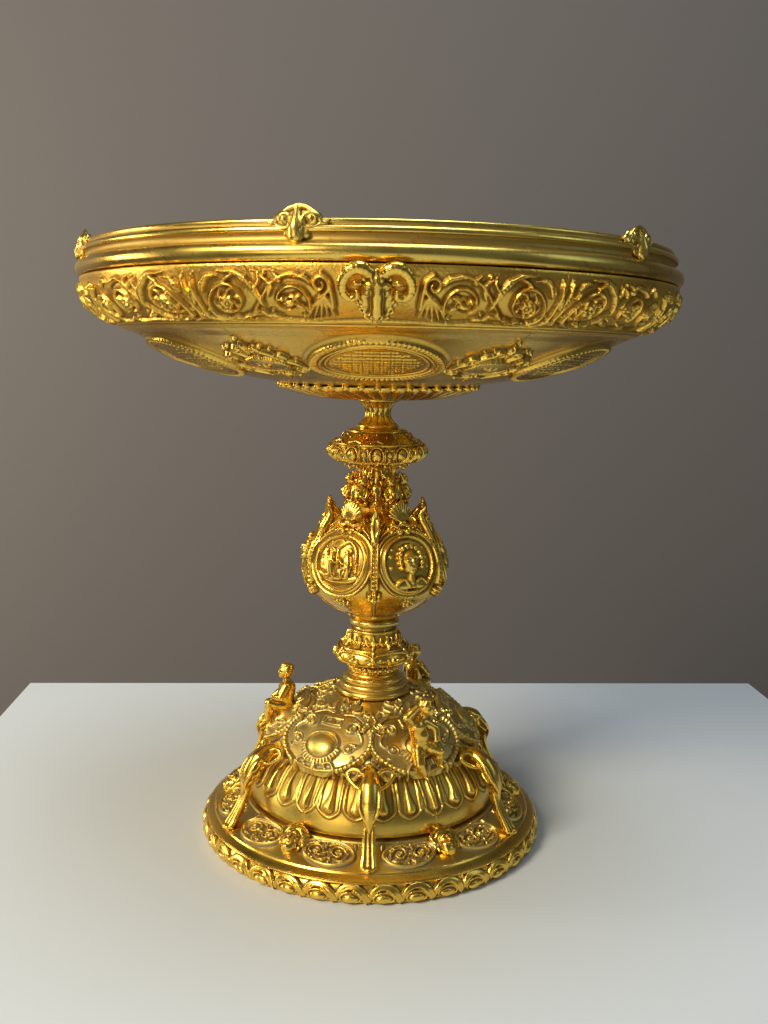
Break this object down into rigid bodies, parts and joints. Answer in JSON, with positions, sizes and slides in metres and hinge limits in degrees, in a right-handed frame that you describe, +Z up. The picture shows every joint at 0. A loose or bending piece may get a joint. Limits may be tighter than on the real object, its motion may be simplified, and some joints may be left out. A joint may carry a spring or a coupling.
{
  "type": "footed dish",
  "caption": "Wide shallow gilded dish on a knopped stem and stepped round foot, with applied relief and a loose dish that lifts out of its shell.",
  "frame": {"origin": "on the table plane, on the axis of the stem", "axes": "+Z up along the stem; -Y is the front, which faces the viewer"},
  "size_m": [0.25, 0.2532, 0.2588],
  "materials": {
    "gilt": "burnished gilding",
    "gilt_matt": "matt, punched gilding",
    "plain_brass": "turned, not gilded",
    "iron": "black rod, threaded at both ends"
  },
  "bodies": {
    "stand": {"foot_border": "gilt", "foot_frieze_band": "gilt_matt", "gadroon_cushion": "gilt", "foot_dome": "gilt_matt", "foot_leg_1": "gilt", "foot_leg_2": "gilt", "foot_leg_3": "gilt", "foot_leg_4": "gilt", "foot_leg_5": "gilt", "foot_leg_6": "gilt", "foot_mask_1": "gilt", "foot_mask_2": "gilt", "foot_mask_3": "gilt", "foot_mask_4": "gilt", "foot_mask_5": "gilt", "foot_mask_6": "gilt", "putto_1": "gilt", "putto_2": "gilt", "putto_3": "gilt", "stepped_collar": "gilt", "lower_knop": "gilt", "collar_disc": "gilt", "vase_knop": "gilt", "volute_crown": "gilt", "upper_knop": "gilt", "neck_spool": "gilt", "bowl_boss": "gilt", "bowl_shell": "gilt_matt", "ram_head_1": "gilt", "ram_head_2": "gilt", "ram_head_3": "gilt", "oval_medallion_1": "gilt_matt", "oval_medallion_2": "gilt_matt", "oval_medallion_3": "gilt_matt", "oval_medallion_4": "gilt_matt", "oval_medallion_5": "gilt_matt", "oval_medallion_6": "gilt_matt", "small_cartouche_1": "gilt", "small_cartouche_2": "gilt", "small_cartouche_3": "gilt", "small_cartouche_4": "gilt", "small_cartouche_5": "gilt", "small_cartouche_6": "gilt", "tie_rod": "iron", "foot_washer": "plain_brass", "foot_nut": "plain_brass", "bowl_washer": "plain_brass", "bowl_nut": "plain_brass"},
    "dish": {"dish": "gilt", "rim_clasp_1": "gilt", "rim_clasp_2": "gilt", "rim_clasp_3": "gilt", "rim_clasp_4": "gilt", "rim_clasp_5": "gilt", "rim_clasp_6": "gilt"}
  },
  "joints": [
    {"name": "dish_lift", "type": "slide", "parent": "stand", "child": "dish", "axis": [0, 0, 1], "range_m": [0, 0.12]}
  ]
}
